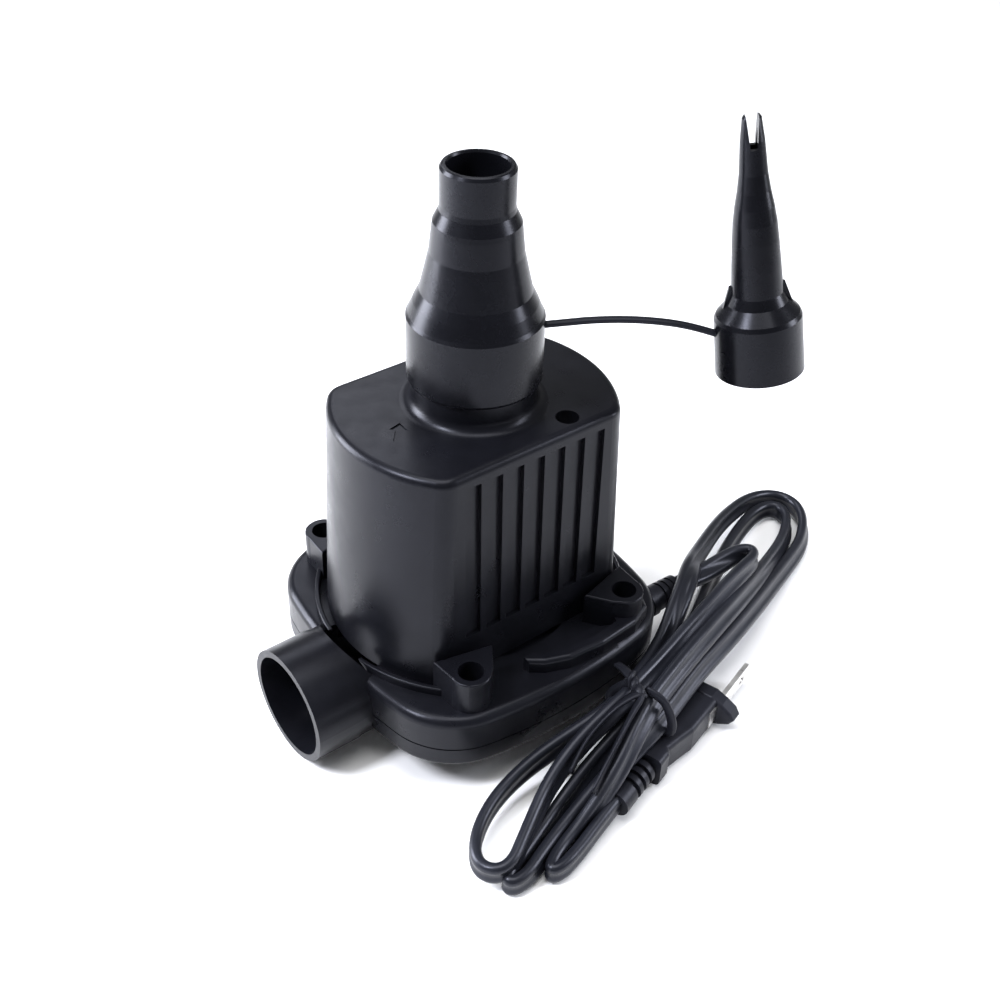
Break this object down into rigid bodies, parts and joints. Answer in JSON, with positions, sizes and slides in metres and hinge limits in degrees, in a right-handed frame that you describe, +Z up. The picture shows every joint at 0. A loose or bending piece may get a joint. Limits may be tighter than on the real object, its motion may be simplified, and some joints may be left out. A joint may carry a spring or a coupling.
{
  "type": "electric air mattress pump",
  "caption": "Corded mains air pump with a ribbed motor housing on a square blower base, side outlet tube, stepped nozzle on the top port, tethered pinch-valve nozzle and a tied cord with plug.",
  "frame": {"origin": "on the surface that the pump stands on, under the motor's axis", "axes": "+Z up along the motor's axis, -X out of the side outlet tube, -Y out of the ribbed wall"},
  "size_m": [0.2112, 0.1344, 0.1842],
  "materials": {
    "black_shell": "satin moulded black plastic",
    "black_nozzle": "satin black plastic",
    "steel": "bright steel",
    "white_plastic": "natural moulded plastic",
    "lamination": "stacked electrical steel",
    "copper": "enamelled copper wire",
    "commutator_copper": "turned copper segments",
    "bronze": "sintered bronze",
    "brass": "stamped brass",
    "carbon": "pressed carbon",
    "soft_black": "flexible black PVC",
    "cord_jacket": "satin black PVC cord jacket",
    "blade_metal": "nickel-plated brass"
  },
  "bodies": {
    "base": {"bottom_cover": "black_shell", "volute_shell": "black_shell", "divider_plate": "black_shell", "motor_housing": "black_shell", "case_screws": "steel", "housing_screws": "steel", "stator_core": "lamination", "field_coils": "copper", "lower_bracket": "white_plastic", "upper_bracket": "white_plastic", "lower_bushing": "bronze", "upper_bushing": "bronze", "brush_holders": "brass", "carbon_brushes": "carbon", "brush_springs": "steel", "motor_bolts": "steel", "strain_relief": "soft_black", "cord_lead": "cord_jacket", "cord_hank": "cord_jacket", "twist_tie": "soft_black", "plug_body": "soft_black", "plug_blades": "blade_metal"},
    "rotor": {"motor_shaft": "steel", "impeller": "white_plastic", "impeller_nut": "steel", "armature_core": "lamination", "armature_winding": "copper", "commutator": "commutator_copper"},
    "nozzle": {"nozzle_main": "black_nozzle", "tether_root": "black_nozzle"},
    "pinch": {"nozzle_pinch": "black_nozzle", "tether_tail": "black_nozzle"}
  },
  "joints": [
    {"name": "rotor_spin", "type": "hinge", "parent": "base", "child": "rotor", "pos_m": [0, 0, 0.05], "axis": [0, 0, 1], "continuous": true},
    {"name": "nozzle_pull", "type": "slide", "parent": "base", "child": "nozzle", "axis": [0, 0, 1], "range_m": [0, 0.025]},
    {"name": "tether_flex", "type": "hinge", "parent": "nozzle", "child": "pinch", "pos_m": [0.03346, -0.02709, 0.1254], "axis": [0.6293, 0.7771, 0], "range_deg": [-30, 30], "stiffness_Nm_per_rad": 0.12}
  ]
}
